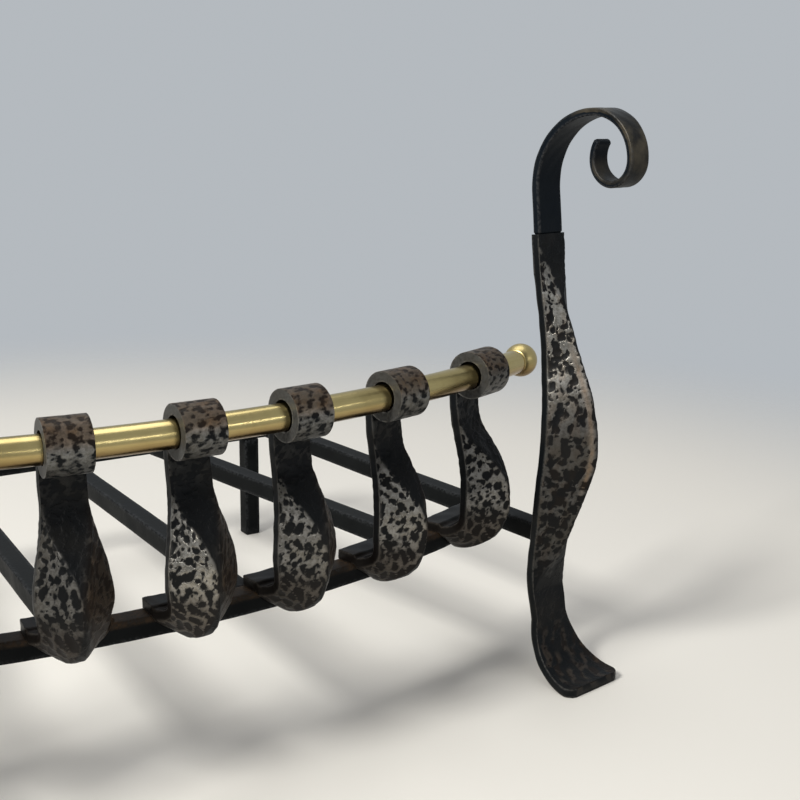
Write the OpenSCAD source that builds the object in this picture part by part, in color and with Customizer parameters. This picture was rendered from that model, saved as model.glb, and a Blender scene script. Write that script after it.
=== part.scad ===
// Bow-fronted fire grate, forged by hand. Two scroll-topped dogs stand at the front corners
// and two square legs at the back. Square bars make the bed. Seven folded leaf fingers stand
// on the bowed front bar, and the eyes at their tops carry a loose round brass rail.
// Origin: on the hearth under the middle of the grate. +X is the grate's right seen from its
// front, +Y is towards the chimney, +Z is up.

/* [Bed of bars] */
// Depth over everything, from the front of the scrolls to the back of the rear bar
depth = 509.5; // [490:0.1:560]
// Side of the square bar that the bed is made of
bar_s = 16; // [12:0.5:20]
// Height of the top of the bars over the hearth
bed_h = 124.4; // [110:0.2:150]
// Radius of the bowed front bar in plan
front_r = 749; // [700:1:900]
// How far the middle of the front bar stands in front of the grate's middle
front_y = 174.8; // [166:0.1:186]
// Distance from the middle to the axis of each side bar, at the rear bar
side_x = 281.5; // [276:0.5:300]
// Turn of the side bars away from straight ahead, in degrees
side_turn = 6.1; // [5:0.1:8]
// Rear end of the outer grate bars, measured from the middle
outer_rear_x = 148; // [120:1:180]
// Front end of the outer grate bars, measured from the middle
outer_front_x = 216; // [190:1:225]
// Rear end of the inner grate bar on the right
inner_right_rear_x = 45; // [30:1:70]
// Front end of the inner grate bar on the right
inner_right_front_x = 49; // [30:1:75]
// Rear end of the inner grate bar on the left
inner_left_rear_x = 64; // [45:1:85]
// Front end of the inner grate bar on the left
inner_left_front_x = 80; // [60:1:100]
// Distance from the middle to the axis of each rear leg
rear_leg_x = 259; // [230:1:265]

/* [Leaf fingers] */
// Thickness of the flat stock that fingers and dogs are forged from
stock_t = 7.8; // [6:0.2:9]
// Width of a finger at its neck and along its eye
neck_w = 30; // [26:0.5:36]
// Width of the flat tail that is welded onto the front bar
tail_w = 56; // [50:1:60]
// Width of the narrowest place in front of the tail
waist_w = 43; // [38:1:50]
// Width of the leaf at its belly
belly_w = 51; // [46:0.5:58]
// Depth of the fold where it starts, against the face of the front bar
keel_h = 18; // [14:0.5:22]
// Depth of the fold at the belly, where its ridge stands out farthest
ridge_h = 28.5; // [24:0.5:32]
// Width of the flat at the ridge's lower end
keel_w = 12; // [8:1:20]
// Radius of the upward bend in front of the tail, at the leaf's edges
heel_r = 18; // [15:0.5:20]
// Turn of that bend, in degrees
heel_turn = 81; // [75:1:86]
// Radius of the belly's long curve, at the leaf's edges
belly_r = 113; // [90:1:130]
// How far the leaf leans back above its belly, in degrees
lean = 16; // [12:0.5:18]
// Length of the straight run between belly and neck
leaf_run = 19; // [15:0.5:28]
// Radius of the neck's curve up to the eye
neck_r = 143; // [120:1:160]
// Length of the upright run that ends beside the eye
neck_run = 10; // [8:0.5:16]
// Angle of the first finger to the left of the middle one
finger_a1_left = 6.35; // [5.8:0.05:6.6]
// Angle of the first finger to the right of the middle one
finger_a1_right = 6; // [5.5:0.05:6.4]
// Angle of the second pair of fingers
finger_a2 = 12.7; // [12:0.1:13.2]
// Angle of the third pair of fingers
finger_a3 = 20.2; // [19.5:0.1:20.8]

/* [Brass rail] */
// Diameter of the rail
rail_d = 20; // [16:0.5:22]
// Play between the rail and the bore of an eye, measured on the radius
eye_play = 1.2; // [0.8:0.1:1.6]
// Diameter of the ball at each end of the rail
ball_d = 28; // [26:0.5:32]
// Angle from the middle to each end of the rail
rail_half_a = 24.5; // [24:0.1:25.5]

/* [Dogs] */
// Height over everything, from the hearth to the top of the scrolls
height = 464.1; // [440:0.1:490]
// Turn of the dogs away from straight ahead, in degrees
dog_turn = 8; // [6:0.5:9]
// How far the toe stands inside the line of the side bar
dog_in = 2.6; // [0:0.1:4]
// Width of the toe
toe_w = 63; // [52:1:70]
// Length of the flat toe
toe_len = 5; // [3:0.5:12]
// Radius of the foot's curve up from the toe
foot_r = 45.3; // [42:0.1:50]
// Turn of the foot's curve, in degrees
foot_turn = 78; // [76:0.5:82]
// How fast the foot spreads from ankle to toe, as an exponent
foot_flare = 1.44; // [1.1:0.02:1.8]
// Length of the straight ankle
ankle_run = 31.5; // [26:0.5:40]
// Width of the dog's ankle
ankle_w = 34.5; // [32:0.5:40]
// Turn forward above the ankle, in degrees
calf_turn = 17.4; // [15:0.2:19]
// Radius of the bend above the ankle
calf_r = 73.5; // [60:0.5:90]
// Length of the straight calf
calf_run = 90.5; // [80:0.5:96]
// Radius of the belly's long curve
dog_belly_r = 168; // [150:1:190]
// How far the leaf leans back above its belly, beyond the ankle's own lean, in degrees
chest_lean = 0.6; // [0:0.1:2]
// Length of the straight run above the belly
chest_run = 18.5; // [12:0.5:26]
// Radius of the throat's curve
throat_r = 151.5; // [130:0.5:180]
// Turn of the throat's curve, in degrees
throat_turn = 6.2; // [5:0.1:7.5]
// Width of the dog's leaf at its belly
dog_belly_w = 48; // [44:0.5:56]
// Depth of the fold at the belly of the dog's leaf
dog_ridge_h = 37; // [32:0.5:40]
// Width of the dog at its throat, the narrowest place of the leaf
throat_w = 26.5; // [24:0.5:29]
// Width of the dog at the shoulder
shoulder_w = 30; // [28:0.5:34]
// Width of the scroll bar where it leaves the shoulder
scroll_w = 27; // [22:0.5:28]
// Thickness of the scroll bar at the shoulder
scroll_t = 7; // [5:0.2:7.6]
// Length of the scroll's straight stem
stem_run = 34.6; // [28:0.2:42]
// Width of the scroll at its tip
tip_w = 16; // [12:0.5:20]
// Thickness of the scroll at its tip
tip_t = 5; // [4:0.2:6]
// Radius of the scroll's first quarter, on its middle line
scroll_r1 = 54.5; // [50:0.5:60]
// Radius of the scroll's second quarter
scroll_r2 = 34.5; // [32:0.5:38]
// Radius of the scroll's third quarter
scroll_r3 = 18; // [16:0.5:20]
// Radius of the scroll's fourth quarter
scroll_r4 = 19.3; // [17:0.1:21]
// Length of the scroll's last piece, up to its square end
tip_run = 21; // [15:1:25]
// Turn of that last piece, in degrees
tip_turn = 36; // [20:1:45]

/* [Hidden] */

$fn = 96;
iron = "#23262a";
forged = "#6e655c";
brass = "#b9923c";
eps = 0.5;

// The bowed front
rear_y = depth / 2 - bar_s / 2;
arc_y = front_r - front_y;
bed_z = bed_h - bar_s;
far = depth * 2;

// Rail and eyes
rail_r = rail_d / 2;
eye_in = rail_r + eye_play;
eye_out = eye_in + stock_t;
rail_sag = eye_play - 0.3;
ball_r = ball_d / 2;
ball_seat = sqrt(ball_r * ball_r - rail_r * rail_r);
seam = 0.5;

blunt = 0.6;

// Eases from 0 to 1 as q goes from 0 to 1
function ease(q) = let (c = min(1, max(0, q))) c * c * (3 - 2 * c);

// Value at s on a curve that eases from one key [place, value] to the next
function eased(s, keys, i = 0) =
    i >= len(keys) - 1 ? keys[len(keys) - 1][1] :
    s < keys[i + 1][0] ? keys[i][1] + (keys[i + 1][1] - keys[i][1])
        * ease((s - keys[i][0]) / (keys[i + 1][0] - keys[i][0])) :
    eased(s, keys, i + 1);

// Depth of a fold, as a share of its full depth: it starts at s0, is full at s1 and ends at s2
function swell(s, s0, s1, s2) =
    s <= s0 || s >= s2 ? 0 :
    s < s1 ? 1 - pow(1 - (s - s0) / (s1 - s0), 1.2) :
    1 - pow((s - s1) / (s2 - s1), 1.8);

// A bent bar's route is a list of runs: [length, 0] is straight, [radius, turn] is an arc,
// and a positive turn goes to the left. Each point is [forward, up, heading, length so far].
step = 6;
step_a = 7.5;
function run_len(run) = run[1] == 0 ? run[0] : abs(run[0] * run[1]) * PI / 180;
function run_points(p, run) =
    let (l = run_len(run), n = ceil(max(l / step, abs(run[1]) / step_a)), w = sign(run[1]))
    [for (i = [1:n]) let (q = i / n, h = p[2] + run[1] * q)
        run[1] == 0 ?
        [p[0] + l * q * cos(h), p[1] + l * q * sin(h), h, p[3] + l * q] :
        [p[0] + w * run[0] * (sin(h) - sin(p[2])), p[1] - w * run[0] * (cos(h) - cos(p[2])),
            h, p[3] + l * q]];
function route(p, runs, i = 0) =
    i >= len(runs) ? [p] :
    let (pts = run_points(p, runs[i]))
    concat([p], [for (k = [0:len(pts) - 2]) if (len(pts) > 1) pts[k]],
        route(pts[len(pts) - 1], runs, i + 1));
function last(v) = v[len(v) - 1];

// Section of a bar of thickness t and half width w that is folded to a ridge k high with a
// flat of half width f on top. Its side faces stay upright, and their outer corners rise by
// e. The inner side follows the outer one, a thickness below it.
function inner_height(x, w, k, f, t, e) = min(k - t, e - t + (k - e) * (w - x) / (w - f));
function folded(w, k, f, t, e, inner_k) =
    [[-w, e], [-f, k], [f, k], [w, e], [w, e - t], [f, inner_k - t], [-f, inner_k - t], [-w, e - t]];

// Closed skin over sections set square to a route. Local -Y is forward and Z is up.
module skin(points, sections) {
    m = len(sections[0]);
    n = len(points);
    verts = [for (i = [0:n - 1]) for (c = sections[i])
        [c[0], -(points[i][0] + c[1] * sin(points[i][2])), points[i][1] - c[1] * cos(points[i][2])]];
    sides = [for (i = [0:n - 2]) for (j = [0:m - 1])
        let (a = i * m + j, b = i * m + (j + 1) % m)
        each [[a, a + m, b + m], [a, b + m, b]]];
    top = (n - 1) * m;
    ends = [for (j = [0:m / 2 - 2])
        each [[j, j + 1, m - 2 - j, m - 1 - j],
            [top + m - 1 - j, top + m - 2 - j, top + j + 1, top + j]]];
    polyhedron(verts, concat(sides, ends));
}

// Route of a finger's edges: tail on the bar, heel, belly, lean back, neck
tail_front = bar_s / 2 + 0.3;
fold_step = 2;
finger_runs = [[bar_s / 2 + tail_front, 0], [fold_step, 0], [heel_r, heel_turn],
    [belly_r, 90 + lean - heel_turn], [leaf_run, 0], [neck_r, -lean], [neck_run, 0]];
finger_route = route([-bar_s / 2, bed_h, 0, 0], finger_runs);
finger_end = last(finger_route);
fold_s = runs_to(finger_runs, 1);
heel_s = runs_to(finger_runs, 2);
waist_s = heel_s + run_len(finger_runs[2]) / 2;
belly_s = runs_to(finger_runs, 3) + belly_r * (90 - heel_turn) * PI / 180;
leaf_s = runs_to(finger_runs, 5);
neck_s = leaf_s + run_len(finger_runs[5]) / 3;
function finger_half_w(s) = eased(s, [[fold_s - fold_step, tail_w / 2], [waist_s, waist_w / 2],
    [belly_s - fold_step, belly_w / 2], [neck_s, neck_w / 2]]);

// The fold starts at full width against the bar's face. Inside, it starts one stock later.
function finger_fold(s) = eased(s, [[fold_s, 0], [heel_s, keel_h], [heel_s + fold_step * 3, keel_h],
    [belly_s - stock_t, ridge_h], [belly_s + fold_step, ridge_h], [neck_s, 0]]);
function finger_flat(s) = eased(s, [[fold_s, waist_w / 2], [heel_s, keel_w / 2],
    [belly_s - stock_t, blunt], [belly_s, blunt], [leaf_s, neck_w / 2 - blunt]]);
function finger_rise(s) = stock_t / 2 * finger_fold(s) / ridge_h;
finger_sections = [for (p = finger_route)
    let (s = p[3], w = finger_half_w(s), lag = stock_t * (1 - ease((s - heel_s) / ridge_h)))
    folded(w, finger_fold(s), min(w - blunt, finger_flat(s)), stock_t, finger_rise(s),
        max(finger_rise(s), finger_fold(s - lag)))];

// The eye's axis follows from where the neck ends
eye_lead = finger_end[0] + eye_out - stock_t;
eye_z = finger_end[1];
rail_z = eye_z - rail_sag;
rail_arc_r = front_r + eye_lead;

// Route of a dog's edges: toe, foot, ankle, calf, belly, chest, throat. The throat's straight
// run takes up what is left of the height under the scroll.
dog_head = 180 - foot_turn + chest_lean - throat_turn;
dog_lower_runs = [[toe_len, 0], [foot_r, -foot_turn], [ankle_run, 0], [calf_r, -calf_turn],
    [calf_run, 0], [dog_belly_r, calf_turn + chest_lean], [chest_run, 0], [throat_r, -throat_turn]];
scroll_runs = [[stem_run, 0], [scroll_r1, -dog_head], [scroll_r2, -90], [scroll_r3, -90],
    [scroll_r4, -90], [tip_run, -tip_turn]];
function runs_to(runs, n) = n == 0 ? 0 : run_len(runs[n - 1]) + runs_to(runs, n - 1);
scroll_s = runs_to(scroll_runs, len(scroll_runs));
function scroll_half_t(s) = scroll_t / 2 + (tip_t - scroll_t) / 2 * s / scroll_s;
scroll_rise = stem_run * sin(dog_head) + scroll_r1 * (1 - cos(dog_head))
    + scroll_half_t(runs_to(scroll_runs, 2)) + stock_t / 2 * cos(dog_head);
throat_foot = last(route([0, stock_t, 180, 0], dog_lower_runs));
throat_run = (height - throat_foot[1] - scroll_rise) / sin(dog_head);
dog_runs = concat(dog_lower_runs, [[throat_run, 0]]);
dog_route = route([0, stock_t, 180, 0], dog_runs);
dog_end = last(dog_route);

// The fold starts at the calf's bend, is deepest below the belly's middle and ends short of
// the shoulder. Its ridge is sharp except near both ends.
calf_lead = 3;
ridge_drop = 18.5;
sharp_run = 55;
blunt_run = 28;
throat_in = 62.5;
throat_out = 4;
narrow_in = 10;
width_hold = 5;
ankle_s = runs_to(dog_runs, 2) + width_hold;
calf_s = runs_to(dog_runs, 3) - calf_lead;
dog_belly_s = runs_to(dog_runs, 5) + dog_belly_r * calf_turn * PI / 180 / 2 - ridge_drop;
throat_s = runs_to(dog_runs, 8) + throat_in;
function dog_half_w(s) = (toe_w - ankle_w) / 2 * (1 - pow(min(1, s / ankle_s), foot_flare))
    + eased(s, [[ankle_s, ankle_w / 2],
    [dog_belly_s - width_hold, dog_belly_w / 2], [dog_belly_s + width_hold, dog_belly_w / 2],
    [runs_to(dog_runs, 8) + narrow_in, throat_w / 2],
    [runs_to(dog_runs, 9), shoulder_w / 2]]);
function dog_fold(s) = dog_ridge_h * swell(s, calf_s, dog_belly_s, throat_s);
function dog_flat(s) = min(dog_half_w(s) - blunt, eased(s, [[calf_s, ankle_w / 2],
    [calf_s + sharp_run, blunt], [throat_s - blunt_run, blunt],
    [throat_s + throat_out, shoulder_w / 2 - blunt]]));
function dog_rise(s) = stock_t / 2 * dog_fold(s) / dog_ridge_h;
dog_sections = [for (p = dog_route) let (s = p[3])
    folded(dog_half_w(s), dog_fold(s), dog_flat(s), stock_t, dog_rise(s), dog_fold(s))];

// Route of a scroll's middle line: a stem in line with the shoulder, then four quarters
scroll_route = route([dog_end[0] - stock_t / 2 * sin(dog_head),
    dog_end[1] + stock_t / 2 * cos(dog_head), dog_head, 0], scroll_runs);
scroll_mid_w = (scroll_w + 3 * tip_w) / 8 + blunt;
function scroll_half_w(s) = eased(s, [[0, scroll_w / 2], [stem_run, scroll_w / 2],
    [runs_to(scroll_runs, 3), scroll_mid_w], [scroll_s, tip_w / 2]]);
scroll_sections = [for (p = scroll_route)
    let (w = scroll_half_w(p[3]), t = scroll_half_t(p[3])) [[-w, t], [w, t], [w, -t], [-w, -t]]];

// The curl of the scroll or the toe, whichever reaches farther, is the front of the grate
scroll_front = max([for (p = scroll_route) (p[0] + scroll_half_t(p[3]) * abs(sin(p[2])))
    * cos(dog_turn) + scroll_half_w(p[3]) * sin(dog_turn)]);
dog_y = -depth / 2 + max(scroll_front, toe_w / 2 * sin(dog_turn));
dog_x = side_x + (rear_y - dog_y) * tan(side_turn) - dog_in;

// How far forward a side bar reaches before it meets the hollow of the dog's leaf
side_off = dog_in + 2;
side_seat = min([for (p = dog_route) if (p[1] > bed_z - step / 2 && p[1] < bed_h + step / 2)
    p[0] + inner_height(bar_s / 2 + side_off, dog_half_w(p[3]), dog_fold(p[3]), dog_flat(p[3]),
        stock_t, dog_rise(p[3]))]) - 0.3;

// Places its children on the bowed front at an angle from the middle
module on_front(angle) {
    translate([0, arc_y, 0]) rotate([0, 0, angle]) translate([0, -front_r, 0]) children();
}

// Places its children at the right-hand dog, whose toe is the local origin
module at_dog() {
    translate([dog_x, dog_y, 0]) rotate([0, 0, dog_turn]) children();
}

// Places its children at the rear end of the right-hand side bar
module at_side_bar() {
    translate([side_x, rear_y, 0]) rotate([0, 0, side_turn]) children();
}

// The left half mirrors the right
module to_left() {
    mirror([1, 0, 0]) children();
}

// The bow, cut off at the inner faces of the two side bars
module front_bar() {
    half_a = 32;
    color(iron) difference() {
        translate([0, arc_y, 0]) rotate([0, 0, -90 - half_a])
            rotate_extrude(angle = 2 * half_a, $fn = 360)
                translate([front_r - bar_s / 2, bed_z]) square(bar_s);
        outside_side_bar();
        to_left() outside_side_bar();
    }
}

module outside_side_bar() {
    at_side_bar() translate([-bar_s / 2, -far, 0]) cube([far, far * 2, bed_h + bar_s]);
}

module rear_bar() {
    half_l = side_x + bar_s / 2 + 1.5;
    color(iron) translate([-half_l, rear_y - bar_s / 2, bed_z]) cube([2 * half_l, bar_s, bar_s]);
}

module behind_rear_bar_face() {
    translate([-far, rear_y - bar_s / 2, 0]) cube([2 * far, far, bed_h + bar_s]);
}

// From the rear bar forward into the hollow of the dog's leaf
module side_bar() {
    color(iron) difference() {
        at_side_bar() translate([-bar_s / 2, -depth, bed_z]) cube([bar_s, depth + bar_s, bar_s]);
        behind_rear_bar_face();
        at_dog() translate([-far / 2, -side_seat - far, 0]) cube([far, far, bed_h + bar_s]);
    }
}

// From the rear bar to the hollow side of the bow
module grate_bar(rear_x, front_x) {
    reach = rear_y - arc_y + sqrt(front_r * front_r - front_x * front_x);
    color(iron) difference() {
        intersection() {
            translate([rear_x, rear_y, bed_z]) rotate([0, 0, atan2(front_x - rear_x, reach)])
                translate([-bar_s / 2, -depth, 0]) cube([bar_s, depth, bar_s]);
            translate([0, arc_y, 0]) cylinder(r = front_r - bar_s / 2, h = bed_h + bar_s, $fn = 360);
        }
        behind_rear_bar_face();
    }
}

module rear_leg() {
    color(iron) translate([rear_leg_x - bar_s / 2, rear_y - bar_s / 2, 0])
        cube([bar_s, bar_s, bed_z]);
}

// Leaf with its neck wrapped back, over and down into an eye. The bar's end butts against
// the neck with an open seam.
module finger(angle) {
    color(forged) on_front(angle) difference() {
        union() {
            skin(finger_route, finger_sections);
            across_eye(neck_w) circle(eye_out);
        }
        across_eye(neck_w * 2) circle(eye_in);
        translate([-neck_w, -finger_end[0] - seam, eye_z - eye_out])
            cube([neck_w * 2, seam, eye_out - rail_play_up()]);
    }
}

// Height over the seam's top at which the bore begins
function rail_play_up() = sqrt(max(1, eye_in * eye_in - pow(eye_lead - finger_end[0] - seam, 2))) - eps;

// Sets a flat shape across the finger, on the axis of its eye
module across_eye(w) {
    translate([-w / 2, -eye_lead, eye_z]) rotate([90, 0, 90]) linear_extrude(w) children();
}

// Round rod bent to the bow, lying loose in the eyes
module brass_rail() {
    color(brass) translate([0, arc_y, 0]) rotate([0, 0, -90 - rail_half_a])
        rotate_extrude(angle = 2 * rail_half_a, $fn = 360)
            translate([rail_arc_r, rail_z]) circle(rail_r);
}

// Turned ball, faced off where it is screwed to the end of the rod
module rail_ball() {
    color(brass) translate([0, arc_y, 0]) rotate([0, 0, rail_half_a])
        translate([ball_seat, -rail_arc_r, rail_z]) rotate([0, 90, 0]) rotate_extrude()
            intersection() {
                circle(ball_r);
                translate([0, -ball_seat]) square([ball_d, ball_seat + ball_d]);
            }
}

// Flat toe, curved foot and folded leaf, up to the shoulder
module dog() {
    color(forged) at_dog() skin(dog_route, dog_sections);
}

// Tapered bar curled forward, forge-welded to the shoulder
module dog_scroll() {
    color(iron) at_dog() skin(scroll_route, scroll_sections);
}

front_bar();
rear_bar();
to_left() side_bar();  // side_bar_left
side_bar();  // side_bar_right
grate_bar(-outer_rear_x, -outer_front_x);  // grate_bar_1
grate_bar(-inner_left_rear_x, -inner_left_front_x);  // grate_bar_2
grate_bar(inner_right_rear_x, inner_right_front_x);  // grate_bar_3
grate_bar(outer_rear_x, outer_front_x);  // grate_bar_4
to_left() rear_leg();  // rear_leg_left
rear_leg();  // rear_leg_right
finger(-finger_a3);  // finger_1
finger(-finger_a2);  // finger_2
finger(-finger_a1_left);  // finger_3
finger(0);  // finger_4
finger(finger_a1_right);  // finger_5
finger(finger_a2);  // finger_6
finger(finger_a3);  // finger_7
brass_rail();
to_left() rail_ball();  // rail_ball_left
rail_ball();  // rail_ball_right
to_left() dog();  // dog_left
dog();  // dog_right
to_left() dog_scroll();  // dog_scroll_left
dog_scroll();  // dog_scroll_right
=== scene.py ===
import bpy
import numpy as np
from mathutils import Matrix, Vector


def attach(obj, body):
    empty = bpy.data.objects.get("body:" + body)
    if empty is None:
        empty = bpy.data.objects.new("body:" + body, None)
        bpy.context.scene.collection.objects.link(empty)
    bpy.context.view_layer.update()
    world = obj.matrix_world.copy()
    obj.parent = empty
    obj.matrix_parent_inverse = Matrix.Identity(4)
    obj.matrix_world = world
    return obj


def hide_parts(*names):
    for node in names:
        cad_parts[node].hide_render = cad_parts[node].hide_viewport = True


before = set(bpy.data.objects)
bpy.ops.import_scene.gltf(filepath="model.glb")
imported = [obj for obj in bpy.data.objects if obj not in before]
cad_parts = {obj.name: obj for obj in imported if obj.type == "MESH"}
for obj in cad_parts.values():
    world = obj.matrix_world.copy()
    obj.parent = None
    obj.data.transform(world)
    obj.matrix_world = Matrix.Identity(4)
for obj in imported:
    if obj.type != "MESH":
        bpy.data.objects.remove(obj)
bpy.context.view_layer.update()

scene = bpy.context.scene
scene.view_settings.view_transform = "Standard"

# Camera. It looks down at the grate from its left front, with the right-hand dog at the right
# of the frame and the left end cut off. It is turned by yaw and pitch, then rolled a little.
EYE = (-0.32205, -0.93142, 0.46899)
YAW, PITCH, ROLL = 0.583, 0.238, -0.015
forward = np.array([np.sin(YAW) * np.cos(PITCH), np.cos(YAW) * np.cos(PITCH), -np.sin(PITCH)])
level = np.array([np.cos(YAW), -np.sin(YAW), 0.0])
below = np.cross(forward, level)
right = np.cos(ROLL) * level + np.sin(ROLL) * below
down = -np.sin(ROLL) * level + np.cos(ROLL) * below
pose = np.eye(4)
pose[:3] = np.stack([right, -down, -forward, EYE], 1)
camera = bpy.data.objects.new("camera", bpy.data.cameras.new("camera"))
camera.data.sensor_width = 36.0
camera.data.lens = 56.06
camera.data.clip_start = 0.01
camera.matrix_world = Matrix(pose.tolist())
scene.collection.objects.link(camera)
scene.camera = camera


# Bed of square bars. Hot-rolled 16 mm bar, satin black and rubbed a little along the edges, is
# welded into a bowed front, a straight back, two sides and four bars between them, on two
# square legs. First come its sizes, its finish and the skin that every bar gets.
BAR, BAR_ROUND = 0.016, 0.0013  # side of the bar, radius of its edges
BED_TOP = 0.1244
BED_LOW = BED_TOP - BAR
BED_MIDDLE = BED_LOW + BAR / 2
ARC_Y, FRONT_R = 0.5742, 0.749  # centre and radius of the bow
REAR_Y = 0.24675
SIDE_X, SIDE_TURN = 0.2815, np.radians(6.1)
BAR_WAVE = 0.00004  # how far a bar wanders from straight

BAR_BLACK, BAR_GREY = (0.0030, 0.0037, 0.0042, 1), (0.0075, 0.0085, 0.0088, 1)
# The first of these is the paler grey painted on faces that look up, as painted light from above.
BAR_TOP_LIGHT, BAR_WORN = (0.022, 0.023, 0.023, 1), (0.05, 0.052, 0.055, 1)
RUST_LIGHT, RUST_DARK = (0.062, 0.039, 0.023, 1), (0.030, 0.023, 0.017, 1)


class Graph:
    """The nodes of a material or of a group: each method adds one node and gives its output."""

    def __init__(self, tree):
        self.tree = tree

    def add(self, kind, **values):
        """Shader node of a kind, with its own settings given by name."""
        node = self.tree.nodes.new("ShaderNode" + kind)
        for key, value in values.items():
            setattr(node, key, value)
        return node

    def wire(self, source, target):
        """Link from an output to an input."""
        self.tree.links.new(source, target)

    def put(self, socket, value):
        """Link where the value is an output, and otherwise the socket's own constant."""
        if isinstance(value, bpy.types.NodeSocket):
            self.wire(value, socket)
        else:
            socket.default_value = value

    def math(self, operation, a, b=0.0, c=0.0, clamp=False):
        """One sum, product or other operation on up to three numbers."""
        node = self.add("Math", operation=operation, use_clamp=clamp)
        for socket, value in zip(node.inputs, (a, b, c)):
            self.put(socket, value)
        return node.outputs[0]

    def span(self, value, low, high, out_low=0.0, out_high=1.0):
        """Eases from out_low to out_high while the value goes from low to high."""
        node = self.add("MapRange", interpolation_type="SMOOTHSTEP")
        for socket, number in zip(node.inputs, (value, low, high, out_low, out_high)):
            self.put(socket, number)
        return node.outputs[0]

    def mix(self, share, a, b):
        """Colour a where the share is 0, b where it is 1, and straight between them."""
        node = self.add("Mix", data_type="RGBA", clamp_factor=True)
        for index, value in ((0, share), (6, a), (7, b)):
            self.put(node.inputs[index], value)
        return node.outputs[2]

    def noise(self, place, scale, detail, rough):
        """Cloudy value from 0 to 1: noise at a scale, with finer and weaker noise on it."""
        node = self.add("TexNoise")
        for name, value in (("Vector", place), ("Scale", scale), ("Detail", detail),
                            ("Roughness", rough)):
            self.put(node.inputs[name], value)
        return node.outputs["Fac"]

    def bump(self, height, strength, distance):
        """Surface normal tilted by the slope of a height."""
        node = self.add("Bump")
        for name, value in (("Height", height), ("Strength", strength), ("Distance", distance)):
            self.put(node.inputs[name], value)
        return node.outputs[0]

    def mark(self, name):
        """Value that the mesh carries at each of its points."""
        node = self.add("Attribute", attribute_type="GEOMETRY")
        node.attribute_name = name
        return node.outputs["Fac"]

    def forge_scale(self, place):
        """The shared group of that name: a coarse cloud, and the fine grains in it."""
        node = self.tree.nodes.new("ShaderNodeGroup")
        node.node_tree = scale_group
        self.wire(place, node.inputs[0])
        return node.outputs[0], node.outputs[1]


def finish_material(name, build):
    """Material whose maker gets its graph, the place on the object and the shader."""
    material = bpy.data.materials.new(name)
    material.use_nodes = True
    material.node_tree.nodes.clear()
    g = Graph(material.node_tree)
    out, shader = g.add("OutputMaterial"), g.add("BsdfPrincipled")
    g.wire(shader.outputs[0], out.inputs[0])
    build(g, g.add("TexCoord").outputs["Object"], shader)
    return material


# Forge scale, the uneven tone that hot work leaves on iron, is in every finish of the grate.
scale_group = bpy.data.node_groups.new("forge scale", "ShaderNodeTree")
for socket, way, kind in (("Place", "INPUT", "NodeSocketVector"),
                          ("Cloud", "OUTPUT", "NodeSocketFloat"),
                          ("Grain", "OUTPUT", "NodeSocketFloat")):
    scale_group.interface.new_socket(socket, in_out=way, socket_type=kind)
inside = Graph(scale_group)
entry, leave = (scale_group.nodes.new("NodeGroup" + end) for end in ("Input", "Output"))
inside.wire(inside.noise(entry.outputs[0], 28.0, 4.0, 0.6), leave.inputs[0])
inside.wire(inside.noise(entry.outputs[0], 420.0, 3.0, 0.7), leave.inputs[1])


def black_bar_finish(g, place, shader):
    """Cloudy black. Faces that look up are painted paler, as painted light from above, edges are
    rubbed grey in grains, and the scorched places are rusty brown."""
    cloud, grain = g.forge_scale(place)
    up = g.add("SeparateXYZ")
    g.wire(g.add("NewGeometry").outputs["Normal"], up.inputs[0])
    # Painted light: faces that look up are made paler, in clouds.
    painted_top_light = g.math("MULTIPLY", g.span(up.outputs[2], 0.5, 0.95), g.span(cloud, 0.3, 0.65, 0.35, 0.9))
    worn = g.math("MULTIPLY", g.mark("edge"), g.span(grain, 0.42, 0.62))
    burnt = g.math("MULTIPLY", g.mark("scorch"), g.span(cloud, 0.25, 0.6, 0.45, 1.0))
    tone = g.mix(g.span(cloud, 0.35, 0.7), BAR_BLACK, BAR_GREY)
    tone = g.mix(g.math("MULTIPLY", painted_top_light, 0.5), tone, BAR_TOP_LIGHT)
    tone = g.mix(g.math("MULTIPLY", worn, 0.5), tone, BAR_WORN)
    tone = g.mix(burnt, tone, g.mix(g.span(grain, 0.35, 0.65), RUST_LIGHT, RUST_DARK))
    relief = g.math("ADD", g.math("MULTIPLY", cloud, 1.6), grain)
    g.wire(tone, shader.inputs["Base Color"])
    g.wire(g.span(cloud, 0.3, 0.7, 0.42, 0.6), shader.inputs["Roughness"])
    g.wire(g.bump(relief, 0.25, 0.0004), shader.inputs["Normal"])
    shader.inputs["Metallic"].default_value = 0.0
    shader.inputs["Specular IOR Level"].default_value = 0.05


black_bar = finish_material("black bar", black_bar_finish)


def joined(*parts):
    """Points from arrays of their coordinates, each spread to the shape of the largest."""
    return np.stack(np.broadcast_arrays(*parts), -1)


def tube_piece(name, grid):
    """Object at the origin, skinned over a grid of stations by points round a closed section:
    quads between neighbouring loops and across the first and the last one. Where the volume
    that the quads enclose comes out negative, all are turned over."""
    rows, cols = grid.shape[:2]
    i, j = np.meshgrid(np.arange(rows - 1), np.arange(cols), indexing="ij")
    k = (j + 1) % cols
    skin = joined(i * cols + j, i * cols + k, (i + 1) * cols + k, (i + 1) * cols + j)
    first = np.arange(cols // 2 - 1)
    cap = joined(first, cols - 1 - first, cols - 2 - first, first + 1)
    quads = np.concatenate([skin.reshape(-1, 4), cap, cap[:, ::-1] + (rows - 1) * cols])
    points = grid.reshape(-1, 3)
    a, b, c, d = (points[quads[:, corner]] for corner in range(4))
    if (np.cross(b - a, c - a) * a).sum() + (np.cross(c - a, d - a) * a).sum() < 0:
        quads = quads[:, ::-1]
    mesh = bpy.data.meshes.new(name)
    mesh.from_pydata(points.tolist(), [], quads.tolist())
    mesh.validate()
    mesh.polygons.foreach_set("use_smooth", np.full(len(mesh.polygons), True))
    mesh.update()
    piece = bpy.data.objects.new(name, mesh)
    scene.collection.objects.link(piece)
    return piece


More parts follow.
